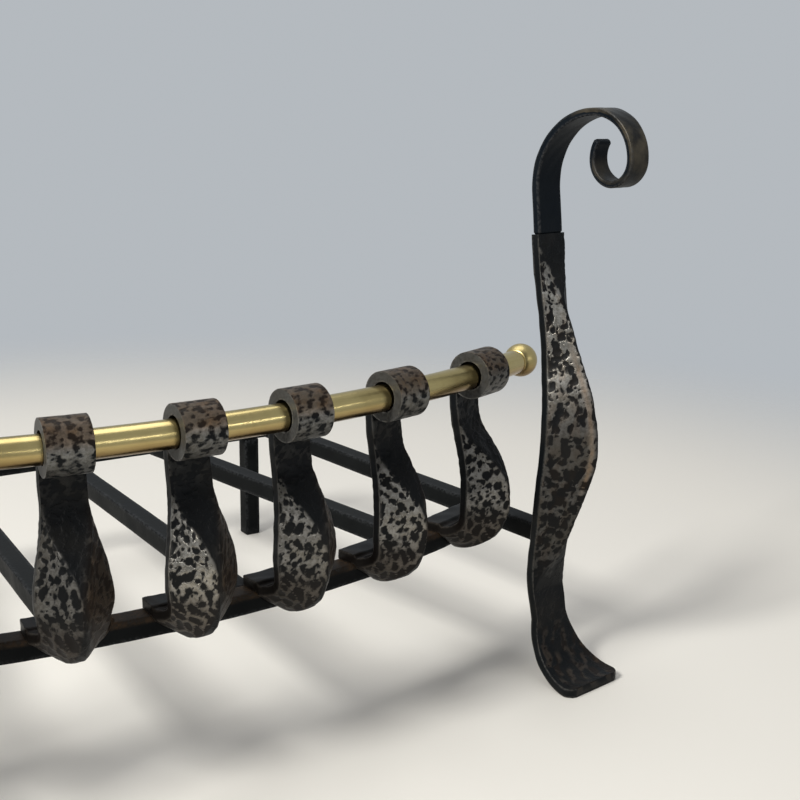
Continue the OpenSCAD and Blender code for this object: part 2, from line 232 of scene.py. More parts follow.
def put_marks(piece, **marks):
    """Gives the mesh a value at each point for every mark that its finish reads."""
    for key, values in marks.items():
        mark = piece.data.attributes.new(key, "FLOAT", "POINT")
        mark.data.foreach_set("value", np.ascontiguousarray(values, np.float32).ravel())


def rounded_strip(wide, thick, radius, steps, flats):
    """Section of a bar of half width and half thickness at every station, anticlockwise from
    the lower left: a quarter circle about each corner's centre and a straight run to the next.
    Also gives 1 for each point on a round and 0 on a flat."""
    wide, thick = np.reshape(wide, (-1, 1)) - radius, np.reshape(thick, (-1, 1)) - radius
    parts, near = [], []
    for k, (x, y) in enumerate(((-1, -1), (1, -1), (1, 1), (-1, 1))):
        turn = np.linspace(0, np.pi / 2, steps) + np.pi + k * np.pi / 2
        arc = joined(x * wide + radius * np.cos(turn), y * thick + radius * np.sin(turn))
        next_x, next_y = -y, x
        goal = joined(next_x * wide + radius * (x + next_x) / 2,
                      next_y * thick + radius * (y + next_y) / 2)
        count = flats[k % 2]
        share = (np.arange(1, count + 1) / (count + 1))[None, :, None]
        parts += [arc, arc[:, -1:] + (goal - arc[:, -1:]) * share]
        near += [np.ones(steps), np.zeros(count)]
    return np.concatenate(parts, 1), np.concatenate(near)


bar_loops, bar_near = rounded_strip(BAR / 2, BAR / 2, BAR_ROUND, steps=4, flats=(5, 5))
BAR_U, BAR_V = bar_loops[0].T


def bar_piece(node, starts, ends, lines, rows, seed, scorch=None):
    """Skin of a bar: each line of its section runs from its start to its end, and lines()
    gives the point at a distance along it. A random walk, tied down at both ends, bends the
    bar slightly. The two rows at each end step in, to round the end's edges."""
    share = np.linspace(0, 1, rows)[:, None]
    grid = lines(starts + (ends - starts) * share)
    walk = np.cumsum(np.random.default_rng(seed).normal(0, 1, (rows, 1, 3)), 0)
    walk -= share[:, :, None] * walk[-1]
    grid[1:-1] += walk[1:-1] * BAR_WAVE
    inset = BAR_ROUND * 0.7
    shrink = 1 - inset / (BAR / 2)
    caps = []
    for end, inner in ((0, 1), (-1, -2)):
        centre, way = grid[end].mean(0), grid[inner] - grid[end]
        caps.append([centre + (grid[end] - centre) * shrink,
                     grid[end] + way / np.linalg.norm(way, axis=1, keepdims=True) * inset])
    grid = np.concatenate([caps[0], grid[1:-1], caps[1][::-1]])
    near = np.broadcast_to(bar_near, grid.shape[:2]).copy()
    near[[0, 1, -1, -2]] = 1.0
    piece = tube_piece(node + "_skin", grid)
    put_marks(piece, edge=near, scorch=np.zeros(near.shape) if scorch is None else scorch(grid))
    piece.data.materials.append(black_bar)
    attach(piece, "grate")
    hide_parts(node)


# Grate bars. Four bars lie between the back bar and the bow, fanned out a little to the
# front, and are cut to fit both faces that they are welded to.
GRATE_BARS = ((-0.148, -0.216), (-0.064, -0.080), (0.045, 0.049), (0.148, 0.216))
rear_face = REAR_Y - BAR / 2


def straight_bar(node, foot, turn, low, high, seed):
    """Bar along +Y turned by an angle about its foot; low and high give where each of its
    lines starts and ends, as distances along it from the foot."""
    c, s = np.cos(turn), np.sin(turn)

    def lines(t):
        """Foot, plus the section's offset and the distance, both turned by the angle."""
        return joined(foot[0] + BAR_U * c - t * s, foot[1] + BAR_U * s + t * c, BED_MIDDLE + BAR_V)
    bar_piece(node, low, high, lines, rows=40, seed=seed)


def to_face(foot, turn, y_face):
    """Distance along a turned bar at which each of its lines meets the plane y = y_face."""
    return (y_face - foot[1] - BAR_U * np.sin(turn)) / np.cos(turn)


def to_circle(foot, turn, radius):
    """Distance along a turned bar at which each of its lines meets a circle about the bow's
    centre: the nearer root of the quadratic for a line and a circle."""
    px = foot[0] + BAR_U * np.cos(turn)
    py = foot[1] + BAR_U * np.sin(turn) - ARC_Y
    b = py * np.cos(turn) - px * np.sin(turn)
    return -b - np.sqrt(b * b - (px * px + py * py - radius ** 2))


for number, (rear_x, front_x) in enumerate(GRATE_BARS):
    foot = (rear_x, REAR_Y)
    turn = np.arctan2(front_x - rear_x, REAR_Y - ARC_Y + np.sqrt(FRONT_R ** 2 - front_x ** 2))
    straight_bar(f"grate_bar_{number + 1}", foot, turn, to_circle(foot, turn, FRONT_R - BAR / 2),
                 to_face(foot, turn, rear_face), seed=number)


# Back bar and legs. A straight bar closes the bed behind, and one square leg stands under it
# near each end. The legs are welded to its underside.
REAR_HALF = SIDE_X + BAR / 2 + 0.0015  # reaches just past the side bars
LEG_X = 0.259


def rear_lines(t):
    """Along X, with the section in the plane across it."""
    return joined(t, REAR_Y + BAR_U, BED_MIDDLE + BAR_V)


every_line = np.ones(len(BAR_U))
bar_piece("rear_bar", -REAR_HALF * every_line, REAR_HALF * every_line, rear_lines, rows=60,
          seed=11)
for node, side in (("rear_leg_left", -1), ("rear_leg_right", 1)):
    def leg_lines(t, side=side):
        """Upwards, with the section in the level plane."""
        return joined(side * LEG_X + BAR_U, REAR_Y + BAR_V, t)
    bar_piece(node, 0 * every_line, BED_LOW * every_line, leg_lines, rows=14, seed=12 + side)


# Side bars. Each runs forward and outward from the back bar into the hollow of its dog's leaf
# and is welded there, so its front end is cut to the leaf's own angle.
DOG_X, DOG_Y, DOG_TURN = 0.330801, -0.238899, np.radians(8.0)
SEAT = -0.057245  # from the dog's toe back to the bar's end
for node, side in (("side_bar_left", -1), ("side_bar_right", 1)):
    foot, turn = (side * SIDE_X, REAR_Y), side * SIDE_TURN
    ahead = np.array([side * np.sin(DOG_TURN), -np.cos(DOG_TURN)])
    seat = np.array([side * DOG_X, DOG_Y]) + ahead * SEAT
    origin = joined(foot[0] + BAR_U * np.cos(turn), foot[1] + BAR_U * np.sin(turn))
    reach = ((seat - origin) @ ahead) / (np.array([-np.sin(turn), np.cos(turn)]) @ ahead)
    straight_bar(node, foot, turn, reach, to_face(foot, turn, rear_face), seed=20 + side)


# Bow. The front bar is bent to an even curve and mitred against the side bars. The fingers'
# tails are welded on its top, where the heat has left the bar rusty brown.
FINGERS = np.radians([-20.2, -12.7, -6.35, 0.0, 6.0, 12.7, 20.2])
TAIL = 0.056  # width of a finger's tail
SCORCH_REACH, SCORCH_DEPTH = 0.022, 0.004


def bow_lines(t):
    """Round the bow's centre by the angle t, at its radius plus the section's offset."""
    r = FRONT_R + BAR_U
    return joined(r * np.sin(t), ARC_Y - r * np.cos(t), BED_MIDDLE + BAR_V)


def tail_scorch(grid):
    """1 beside each tail, fading out with the distance from it along the bar's top."""
    angle = np.arctan2(grid[..., 0], ARC_Y - grid[..., 1])
    away = np.abs(angle[..., None] - FINGERS).min(-1) * FRONT_R - TAIL / 2
    return np.clip(1 - away / SCORCH_REACH, 0, 1) * (grid[..., 2] > BED_TOP - SCORCH_DEPTH)


side_face = (SIDE_X * np.cos(SIDE_TURN) + REAR_Y * np.sin(SIDE_TURN) - BAR / 2
             - np.sin(SIDE_TURN) * ARC_Y)
mitre = SIDE_TURN + np.arcsin(side_face / (FRONT_R + BAR_U))
bar_piece("front_bar", -mitre, mitre, bow_lines, rows=260, seed=30, scorch=tail_scorch)


# Leaf fingers. Each is forged from 8 mm flat. The tail lies flat on the bow and is welded
# there, the leaf in front of the bar is spread and folded to a ridge, and the flat neck ends in
# an eye wrapped forward and down. One facet is brushed bright and painted with the lamp's
# highlight, the other is kept dark partly as painted shade; dark scale stays in its pits.
STOCK, BLUNT = 0.0078, 0.0006  # thickness of the flat, half width of a sharp ridge
WAIST, BELLY, NECK = 0.0215, 0.0255, 0.015  # half widths along the leaf
HEEL_FLAT = 0.006  # half width of the flat front above the heel
HEEL_RIDGE, RIDGE = 0.018, 0.0285  # height of the fold at the heel and at the belly
TAIL_GAP, FOLD_STEP = 0.0003, 0.002  # both lie between the bar's face and the heel
HEEL_R, HEEL_TURN = 0.018, np.radians(81)
BELLY_R, BELLY_TURN, LEAN, UPPER_LEAF = 0.113, np.radians(9), np.radians(16), 0.019
THROAT_R, NECK_LENGTH = 0.143, 0.010
EYE_IN, EYE_GAP = 0.0112, 0.0005  # hole's radius, gap left in front of the neck
EYE_OUT = EYE_IN + STOCK
EYE_ROWS = 130
FINGER_COUNTS = (26, 14, 26, 8, 20, 12, 20, 8)  # points on the section's eight sides
# Per finger, how strong the brushing and the painted highlight on the left facet are.
FACET_LIGHT = (0.75, 0.85, 0.38, 1.0, 0.62, 0.85, 0.75)  # how bright each finger's facet is

SCALE_BLUE, SCALE_BROWN = (0.0036, 0.0048, 0.0058, 1), (0.0155, 0.0092, 0.0052, 1)
SCALE_ASH = (0.0130, 0.0122, 0.0108, 1)
BRUSHED, COPPERY = (0.51, 0.505, 0.475, 1), (0.38, 0.252, 0.153, 1)
SMOKED, GRAINED = (0.10, 0.086, 0.065, 1), (0.13, 0.115, 0.088, 1)


def hammered_finish(g, place, shader):
    """Scale in the pits and bare metal between them: the pit mark, frayed by the grains, says
    which, and the bright mark how far the metal is bare, by brushing and by a painted highlight.
    Long edges are rubbed bare."""
    cloud, grain = g.forge_scale(place)
    warm = g.mark("warm")
    frayed = g.math("ADD", g.mark("pit"), g.math("MULTIPLY_ADD", grain, 0.5, -0.25))
    clear = g.span(frayed, -0.05, 0.13)
    haze = g.span(cloud, 0.28, 0.62, 0.35, 1.0)
    # Bare metal where brushed and where a highlight is painted.
    brushed_and_lit = g.math("MULTIPLY", g.math("MULTIPLY", clear, g.mark("bright")), haze, clamp=True)
    rubbing = g.math("MULTIPLY", g.mark("edge"), g.span(grain, 0.4, 0.62, 0.1, 0.7))
    bare = g.math("MAXIMUM", brushed_and_lit, rubbing)
    scale = g.mix(warm, SCALE_BLUE, SCALE_BROWN)
    scale = g.mix(g.math("MULTIPLY", g.span(cloud, 0.42, 0.68), 0.5), scale, SCALE_ASH)
    metal = g.mix(warm, BRUSHED, COPPERY)
    metal = g.mix(g.span(cloud, 0.38, 0.60, 0.0, 0.60), metal, SMOKED)
    metal = g.mix(g.span(grain, 0.42, 0.62, 0.0, 0.55), metal, GRAINED)
    relief = g.math("ADD", g.math("MULTIPLY", clear, 0.7), g.math("MULTIPLY", grain, 0.30))
    g.wire(g.mix(bare, scale, metal), shader.inputs["Base Color"])
    g.wire(g.math("MULTIPLY_ADD", bare, 0.85, 0.05), shader.inputs["Metallic"])
    g.wire(g.math("MULTIPLY_ADD", bare, -0.22, 0.46), shader.inputs["Roughness"])
    g.wire(g.bump(relief, 0.6, 0.0006), shader.inputs["Normal"])
    shader.inputs["Specular IOR Level"].default_value = 0.10


hammered_iron = finish_material("hammered iron", hammered_finish)


def ease(q):
    """0 to 1 with a level start and end: q squared times (3 - 2q)."""
    q = np.clip(q, 0, 1)
    return q * q * (3 - 2 * q)


def fade(s, start, reach):
    """0 up to the start, easing to 1 over the reach behind it."""
    return ease((s - start) / reach)


def eased(s, keys):
    """Values at s on a curve that eases from each key (place, value) to the next."""
    value = np.full(s.shape, float(keys[0][1]))
    for (s0, v0), (s1, v1) in zip(keys[:-1], keys[1:]):
        value += (v1 - v0) * fade(s, s0, s1 - s0)
    return value


def run_length(size, turn):
    """A run is straight (length, 0) or an arc (radius, turn), as long as radius times turn."""
    return size if turn == 0 else size * abs(turn)


def run_ends(runs):
    """How far along a route each of its runs ends: the sum of the lengths so far."""
    return np.cumsum([run_length(*run) for run in runs])


def route(start, heading, runs, spacing):
    """Points along straight runs and arcs, as forward, up, heading and length so far. A point
    of an arc is its centre plus the radius turned by the heading."""
    x, z = start
    parts, s = [np.array([[x, z, heading, 0.0]])], 0.0
    for size, turn in runs:
        length = run_length(size, turn)
        share = np.linspace(0, 1, max(2, int(np.ceil(length / spacing)) + 1))[1:]
        h = heading + turn * share
        if turn == 0:
            px = x + length * share * np.cos(heading)
            pz = z + length * share * np.sin(heading)
        else:
            radius = np.sign(turn) * size
            px = x + radius * (np.sin(h) - np.sin(heading))
            pz = z - radius * (np.cos(h) - np.cos(heading))
        parts.append(joined(px, pz, h, s + length * share))
        x, z, heading, s = px[-1], pz[-1], heading + turn, s + length
    return np.concatenate(parts)


def off_route(path, out):
    """Forward and up of the points that stand out from a route, square to its heading."""
    x, z, heading = path[:, :3].T[:, :, None]
    return x + out * np.sin(heading), z - out * np.cos(heading)


def folded_loops(wide, ridge, flat, edge, inner_ridge, counts):
    """Section of the folded flat at every station: facets from the side faces' corners at the
    edge's height up to a flat at the ridge's height, and the inner side one thickness below.
    Corners are softened by moving each point to the mean of itself and its neighbours."""
    low, inner = edge - STOCK, inner_ridge - STOCK
    corners = np.stack([joined(*corner) for corner in (
        (-wide, edge), (-flat, ridge), (flat, ridge), (wide, edge),
        (wide, low), (flat, inner), (-flat, inner), (-wide, low))], 1)
    parts = []
    for corner, count in enumerate(counts):
        share = (np.arange(count) / count)[None, :, None]
        a, b = corners[:, corner, None], corners[:, (corner + 1) % 8, None]
        parts.append(a + (b - a) * share)
    loops = np.concatenate(parts, 1)
    for _ in range(3):
        loops = 0.5 * loops + 0.25 * (np.roll(loops, 1, 1) + np.roll(loops, -1, 1))
    return loops


def section_faces(counts):
    """1 for the points on a section's outer facets, on its inner side and on its side faces."""
    outer, inner, flank = np.zeros((3, sum(counts)))
    outer[:sum(counts[:3]) + 1] = 1.0
    flank[sum(counts[:3]) + 1:sum(counts[:4])] = 1.0
    inner[sum(counts[:4]):sum(counts[:7])] = 1.0
    flank[sum(counts[:7]) + 1:] = 1.0
    return outer, inner, flank


def corner_marks(counts):
    """1 at the four long corners of the section, 0.5 beside them."""
    total = sum(counts)
    marks = np.zeros(total)
    for at in (0, sum(counts[:3]), sum(counts[:4]), sum(counts[:7])):
        marks[[(at - 1) % total, at % total, (at + 1) % total]] = (0.5, 1.0, 0.5)
    return marks


def section_girth(across, out):
    """How far round its section each point lies: the sum of the steps between points."""
    steps = (np.diff(way, axis=1, prepend=way[:, :1]) for way in (across, out))
    return np.cumsum(np.hypot(*steps), 1)


def pushed(across, out, push):
    """Each point of a section moved by push along the section's outward normal."""
    da, do = (np.roll(way, -1, 1) - np.roll(way, 1, 1) for way in (across, out))
    length = np.maximum(np.hypot(da, do), 1e-9)
    return across - do / length * push, out + da / length * push


def cells(x, y, seed, size, low, high):
    """Distance field of round pits with radii from low to high, one in each cell of a jittered
    grid: below 0 inside a pit, in units of a cell. Also how much nearer the nearest pit's
    middle is than the next one's."""
    rng = np.random.default_rng(seed)
    jitter, radius = rng.random((64, 64, 2)), rng.uniform(low, high, (64, 64))
    gx, gy = x / size, y / size
    ix, iy = np.floor(gx).astype(int), np.floor(gy).astype(int)
    pit, first, second = np.full((3,) + x.shape, 9.0)
    for dx in (-1, 0, 1):
        for dy in (-1, 0, 1):
            cx, cy = ix + dx, iy + dy
            spot = jitter[cx % 64, cy % 64]
            away = np.hypot(cx + spot[..., 0] - gx, cy + spot[..., 1] - gy)
            pit = np.minimum(pit, away - radius[cx % 64, cy % 64])
            second = np.minimum(second, np.maximum(first, away))
            first = np.minimum(first, away)
    return pit, second - first


def ripple(x, y, seed, shortest=0.012, longest=0.035):
    """Smooth unevenness from about -1 to 1: five waves of different length and direction."""
    rng = np.random.default_rng(seed)
    total = np.zeros(np.broadcast(x, y).shape)
    for _ in range(5):
        way, length = rng.uniform(0, 6.28), rng.uniform(shortest, longest)
        phase = rng.uniform(0, 6.28)
        total += np.sin((x * np.cos(way) + y * np.sin(way)) / length * 6.28 + phase)
    return total / 3.2


runs = [(BAR + TAIL_GAP, 0), (FOLD_STEP, 0), (HEEL_R, HEEL_TURN),
        (BELLY_R, np.pi / 2 + LEAN - HEEL_TURN), (UPPER_LEAF, 0), (THROAT_R, -LEAN),
        (NECK_LENGTH, 0)]
flat_path = route((-BAR / 2, BED_TOP), 0.0, runs, spacing=0.0013)
flat_s = flat_path[:, 3]
fold_s, heel_s, heel_end, _, leaf_s = run_ends(runs)[:5]
waist_s, belly_s = heel_s + HEEL_R * HEEL_TURN / 2, heel_end + BELLY_R * BELLY_TURN
neck_s = leaf_s + THROAT_R * LEAN / 3
EYE_U, EYE_Z = flat_path[-1, 0] + EYE_IN, flat_path[-1, 1]


def finger_fold(s):
    """Ridge height: eases up at the heel, on to the belly, and away to nothing at the neck."""
    return eased(s, [(fold_s, 0), (heel_s, HEEL_RIDGE), (heel_s + 3 * FOLD_STEP, HEEL_RIDGE),
                     (belly_s - STOCK, RIDGE), (belly_s + FOLD_STEP, RIDGE), (neck_s, 0)])


# The plain form is the same for all fingers: the stations up to the neck, and then those round
# the eye. There the outer side turns a little less far than the inner one, so that the end face
# lies flat in front of the neck.
wide = eased(flat_s, [(fold_s - FOLD_STEP, TAIL / 2), (waist_s, WAIST),
                      (belly_s - FOLD_STEP, BELLY), (neck_s, NECK)])
ridge = finger_fold(flat_s)
flat = eased(flat_s, [(fold_s, WAIST), (heel_s, HEEL_FLAT), (belly_s - STOCK, BLUNT),
                      (belly_s, BLUNT), (leaf_s, NECK - BLUNT)])
flat = np.minimum(wide - BLUNT, flat)
edge = STOCK / 2 * ridge / RIDGE
lag = STOCK * (1 - fade(flat_s, heel_s, RIDGE))
loops = folded_loops(wide, ridge, flat, edge, np.maximum(edge, finger_fold(flat_s - lag)),
                     FINGER_COUNTS)
loops = np.concatenate([loops, np.repeat(loops[-1:], EYE_ROWS, 0)])
finger_across, finger_out = loops[..., 0], loops[..., 1]
finger_flat = np.concatenate([flat, np.full(EYE_ROWS, NECK)])[:, None]
finger_girth = section_girth(finger_across, finger_out)

below_eye = len(flat_s)
on_eye = (np.arange(len(loops)) >= below_eye)[:, None]
end_out, end_in = (np.pi + np.arccos(-(EYE_IN - EYE_GAP) / r) for r in (EYE_OUT, EYE_IN))
eye_turn = np.linspace(0, 1, EYE_ROWS + 1)[1:] * end_out
eye_sine = np.sin(np.pi - eye_turn)
depth = np.clip(-finger_out[below_eye:] / STOCK, 0, 1)
late = fade(eye_turn / end_out, 0.6, 0.4)[:, None]
point_turn = eye_turn[:, None] * (1 + (end_in / end_out - 1) * (1 - depth) * late)
eye_over = np.concatenate([np.zeros(below_eye), eye_sine])[:, None]
finger_up = np.concatenate([flat_path[:, 1], EYE_Z + EYE_OUT * eye_sine])[:, None]
finger_along = np.concatenate([flat_s, flat_s[-1] + eye_turn * EYE_OUT])[:, None]
finger_along = np.repeat(finger_along, sum(FINGER_COUNTS), 1)

# Pits, as size of a cell and smallest and largest radius in cells; shortest and longest waves
LARGE_PITS, SMALL_PITS = (0.0054, 0.18, 0.50), (0.0027, 0.05, 0.36)
CRACKED_FIELDS, EYE_STREAKS = (0.0056, 0.3, 0.6), (0.0031, 0.08, 0.46)
PIT_EDGE_WAVES, HAMMER_WAVES, FLECK_WAVES = (0.004, 0.009), (0.009, 0.024), (0.006, 0.02)
PATCH_WAVES, EYE_WAVES = (0.010, 0.022), (0.004, 0.012)
PIT_DEPTH, HAMMER_DEPTH = 0.00038, 0.00034
# Heights at which a tone of the leaf starts to change, and the length over which it does
LEAF_LOW, NECK_COOL, NECK_SHEEN = (0.130, 0.026), (0.222, 0.012), (0.212, 0.014)
# Heights of the brushed band on the left facet, which also carries the painted highlight of the
# lamp.
BRUSH_LIT_FAINT, BRUSH_LIT_FULL, BRUSH_LIT_END = (0.118, 0.02), (0.140, 0.02), (0.195, 0.03)
TAN_START, TAN_END = (0.140, 0.02), (0.205, 0.02)
BROWN_START, BROWN_END = (0.112, 0.02), (0.19, 0.03)


def finger_sheet(seed, facet_light):
    """One hammered finger in its own plane, as across, forward and up for every station and
    section point, and the marks that its finish reads. Round pits, cracked fields low on the
    leaf and streaks on the eye dent the surface; a wave is added along the leaf."""
    girth, along, up = finger_girth, finger_along, finger_up
    outer, inner, flank = section_faces(FINGER_COUNTS)
    side, on_tail = np.where(on_eye, inner, outer), along < heel_s + 0.004
    x = girth + 0.0009 * ripple(girth, along, seed)
    x = x + 0.0007 * ripple(girth, along, seed + 5, *PIT_EDGE_WAVES)
    y = along + 0.0012 * ripple(girth, along, seed + 1)
    large, _ = cells(x, y, seed + 2, *LARGE_PITS)
    small, _ = cells(x, y, seed + 3, *SMALL_PITS)
    _, crack = cells((x * 0.86 - y * 0.5) * 0.52, x * 0.5 + y * 0.86, seed + 4, *CRACKED_FIELDS)
    streak, _ = cells(x * 0.62, y, seed + 6, *EYE_STREAKS)
    low_leaf = 1 - fade(up, *LEAF_LOW)
    pit = np.minimum(large, small + 0.04) + 0.10 * ripple(x, y, seed + 8, *PATCH_WAVES)
    pit = pit * (1 - low_leaf) + (0.20 - crack) * low_leaf
    eye_pit = 0.40 * streak + 0.02 + 0.16 * ripple(x, y, seed + 11, *EYE_WAVES)
    pit = np.where(on_eye, eye_pit, pit)
    fleck = ease((ripple(x, y, seed + 9, *FLECK_WAVES) + 0.1) / 0.6)
    # The left facet is bright, brushed and painted with the lamp's highlight, the right one smooth
    # brown scale kept dark partly as painted shade, the flat front flecked with tan; a faint sheen
    # is painted on the neck
    past_ridge = (finger_across - finger_flat) / 0.004
    on_left, on_right = ease((-finger_across - finger_flat) / 0.003 + 0.6), ease(past_ridge / 2)
    tan = np.exp(-(past_ridge - 0.7) ** 2) * fade(up, *TAN_START) * (1 - fade(up, *TAN_END))
    bright = 0.10 + 0.40 * fade(up, *BRUSH_LIT_FAINT) + 0.50 * fade(up, *BRUSH_LIT_FULL)
    bright = facet_light * bright * on_left * (1 - 0.8 * fade(up, *BRUSH_LIT_END)) + 0.34 * tan * fleck
    bright = bright + 0.13 * on_right * fade(up, *BROWN_START) * (1 - fade(up, *BROWN_END))
    bright = bright + 0.09 * fade(up, *NECK_SHEEN) * (0.6 + 0.4 * fleck)
    warm = 0.10 + 0.70 * on_right + 0.35 * low_leaf * on_left + 0.6 * tan
    warm = warm * (1 - 0.7 * fade(up, *NECK_COOL))
    # The eye is brown and copper on top and silvery in front, the ring's two ends are grey
    eye_bright = 0.34 + 0.40 * np.clip(1 - np.abs(eye_over - 0.1) / 0.7, 0, 1)
    eye_warm = ease((eye_over + 0.05) / 0.5) * (0.75 + 0.25 * fleck) * inner
    bright = np.where(on_tail, 0.05, np.where(on_eye, eye_bright, bright)) * side
    bright = bright + 0.20 * on_eye * flank
    warm = np.where(on_eye, eye_warm, warm)
    dent = PIT_DEPTH * (1 - fade(pit, -0.30, 0.45)) * side * np.where(on_eye, 0.6, 1.0) * ~on_tail
    wave = HAMMER_DEPTH * ripple(girth, along, seed + 7, *HAMMER_WAVES) * ~on_eye
    across, out = pushed(finger_across, finger_out, wave - dent)
    ahead, height = off_route(flat_path, out[:below_eye])
    r = EYE_IN - out[below_eye:]
    ahead = np.concatenate([ahead, EYE_U - r * np.cos(point_turn)])
    height = np.concatenate([height, EYE_Z + r * np.sin(point_turn)])
    return across, ahead, height, dict(
        pit=pit * side + 3 * (1 - side), bright=np.clip(bright, 0, 1), warm=np.clip(warm, 0, 1),
        edge=corner_marks(FINGER_COUNTS)[None] * np.where(on_eye, 0.9, 0.30))


def on_bow(angle, across, r, up):
    """From the upright plane at an angle round the bow's centre, at radius r, to the frame."""
    c, s = np.cos(angle), np.sin(angle)
    return joined(across * c + r * s, ARC_Y + across * s - r * c, up)


for number, angle in enumerate(FINGERS):
    across, ahead, up, marks = finger_sheet(100 + 20 * number, FACET_LIGHT[number])
    piece = tube_piece(f"finger_{number + 1}_leaf", on_bow(angle, across, FRONT_R + ahead, up))
    put_marks(piece, **marks)
    piece.data.materials.append(hammered_iron)
    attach(piece, "grate")
    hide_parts(f"finger_{number + 1}")


# Weld beads. A short bead joins each tail's right edge to the bow's top. It is left as it was
# laid, rusty and lumpy.
BEAD_R, BEAD_LENGTH, BEAD_START = 0.0026, 0.011, -0.0045
BEAD_SIDE, BEAD_RISE = TAIL / 2 + 0.0006, BED_TOP + 0.0002


def weld_bead(angle, seed):
    """Ellipse carried across the bar. Its girth swells and shrinks with every drop of the weld,
    is uneven by random lumps, and closes over at both ends."""
    q = np.linspace(0, 1, 40)[:, None]
    around = np.linspace(0, 2 * np.pi, 16, endpoint=False)[None]
    lumps = 0.10 * np.random.default_rng(seed).normal(0, 1, (40, 16)) * 0.4
    drops = 1 + 0.16 * np.abs(np.sin(q * 5.5 * np.pi)) + lumps
    girth = BEAD_R * np.sqrt(np.clip(1 - (2 * q - 1) ** 6, 0.02, 1)) * drops
    return on_bow(angle, BEAD_SIDE + girth * 0.9 * np.cos(around),
                  FRONT_R + BEAD_START + BEAD_LENGTH * q, BEAD_RISE + girth * 1.3 * np.sin(around))


for number, angle in enumerate(FINGERS):
    grid = weld_bead(angle, 300 + number)
    piece = tube_piece(f"finger_{number + 1}_bead", grid)
    put_marks(piece, edge=np.full(grid.shape[:2], 0.4), scorch=np.ones(grid.shape[:2]))
    piece.data.materials.append(black_bar)
    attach(piece, "grate")


# Dogs. A heavier leaf of the same flat on a flat foot stands at each end and carries the side
# bar. The toe is rounded, the fold runs out at the shoulder. It is brushed and painted with
# highlight and shade like the fingers, and the left-hand dog is the mirrored one.
DOG_COUNTS = (34, 16, 34, 8, 26, 14, 26, 8)
ANKLE, DOG_BELLY, DOG_THROAT, SHOULDER = 0.01725, 0.024, 0.01325, 0.015  # half widths
TOE_SPREAD, SPREAD_POWER, TOE_ROUND = 0.01425, 1.44, 0.009
DOG_RIDGE, RISE_POWER, FALL_POWER = 0.037, 1.2, 1.8
SOLE, FOOT_R, FOOT_TURN, SHIN = 0.005, 0.0453, np.radians(78), 0.0315
CALF_R, CALF_TURN, CALF = 0.0735, np.radians(17.4), 0.0905
DOG_BELLY_R, DOG_LEAN, DOG_CHEST = 0.168, np.radians(0.6), 0.0185
DOG_THROAT_R, THROAT_TURN, DOG_TOP = 0.1515, np.radians(6.2), 0.093696
# Lengths from the end of a run to the ankle, the throat, and where the fold starts and ends
TO_ANKLE, TO_THROAT, TO_FOLD, TO_FOLD_END = 0.005, 0.010, -0.003, 0.0625
BELLY_HALF, SHARPENING = 0.005, 0.055
BLUNTING = (-0.028, 0.004)  # start and end, from where the fold ends

runs = [(SOLE, 0), (FOOT_R, -FOOT_TURN), (SHIN, 0), (CALF_R, -CALF_TURN), (CALF, 0),
        (DOG_BELLY_R, CALF_TURN + DOG_LEAN), (DOG_CHEST, 0), (DOG_THROAT_R, -THROAT_TURN),
        (DOG_TOP, 0)]
dog_path = route((0.0, STOCK), np.pi, runs, spacing=0.0016)
dog_s, dog_up = dog_path[:, 3], dog_path[:, 1][:, None]
_, foot_end, shin_end, _, calf_end, _, _, throat_end, top_end = run_ends(runs)
ankle_s, fold_start, fold_end = foot_end + TO_ANKLE, shin_end + TO_FOLD, throat_end + TO_FOLD_END
crest = calf_end + DOG_BELLY_R * CALF_TURN / 2 - DOG_CHEST

# The ridge rises as 1 - (1 - q)^1.2 up to the belly's crest and falls as 1 - q^1.8 behind it
rise = np.clip((dog_s - fold_start) / (crest - fold_start), 0, 1)
fall = np.clip((dog_s - crest) / (fold_end - crest), 0, 1)
ridge = np.where(dog_s < crest, 1 - (1 - rise) ** RISE_POWER, 1 - fall ** FALL_POWER)
ridge = ridge * DOG_RIDGE
wide = eased(dog_s, [(ankle_s, ANKLE), (crest - BELLY_HALF, DOG_BELLY),
                     (crest + BELLY_HALF, DOG_BELLY), (throat_end + TO_THROAT, DOG_THROAT),
                     (top_end, SHOULDER)])
wide += TOE_SPREAD * (1 - np.clip(dog_s / ankle_s, 0, 1) ** SPREAD_POWER)
wide -= TOE_ROUND * (1 - np.sqrt(1 - np.clip(1 - dog_s / TOE_ROUND, 0, 1) ** 2 * 0.98))
flat = eased(dog_s, [(fold_start, ANKLE), (fold_start + SHARPENING, BLUNT),
                     (fold_end + BLUNTING[0], BLUNT), (fold_end + BLUNTING[1], SHOULDER - BLUNT)])
flat = np.minimum(wide - BLUNT, flat)
loops = folded_loops(wide, ridge, flat, STOCK / 2 * ridge / DOG_RIDGE, ridge, DOG_COUNTS)
dog_across, dog_out, dog_flat = loops[..., 0], loops[..., 1], flat[:, None]
dog_girth = section_girth(dog_across, dog_out)
dog_along = np.repeat(dog_s[:, None], sum(DOG_COUNTS), 1)

DOG_LARGE_PITS, DOG_SMALL_PITS = (0.0064, 0.20, 0.53), (0.0034, 0.05, 0.38)
DOG_EDGE_WAVES, DOG_DRIFT_WAVES, DOG_HAMMER_WAVES = (0.005, 0.012), (0.008, 0.02), (0.010, 0.028)
DOG_PATCH_WAVES, DOG_FLECK_WAVES = (0.012, 0.030), (0.008, 0.03)
DOG_PIT_DEPTH, DOG_HAMMER_DEPTH = 0.00042, 0.00025
# Heights at which a tone of the dog starts to change, and the length over which it does
FOOT_END, PITS_START, DOG_BRUSH_LIT = (0.02, 0.05), (0.06, 0.04), (0.070, 0.05)
DOG_BRUSH_LIT_FULL, DOG_BRUSH_LIT_END = (0.200, 0.085), (0.325, 0.025)
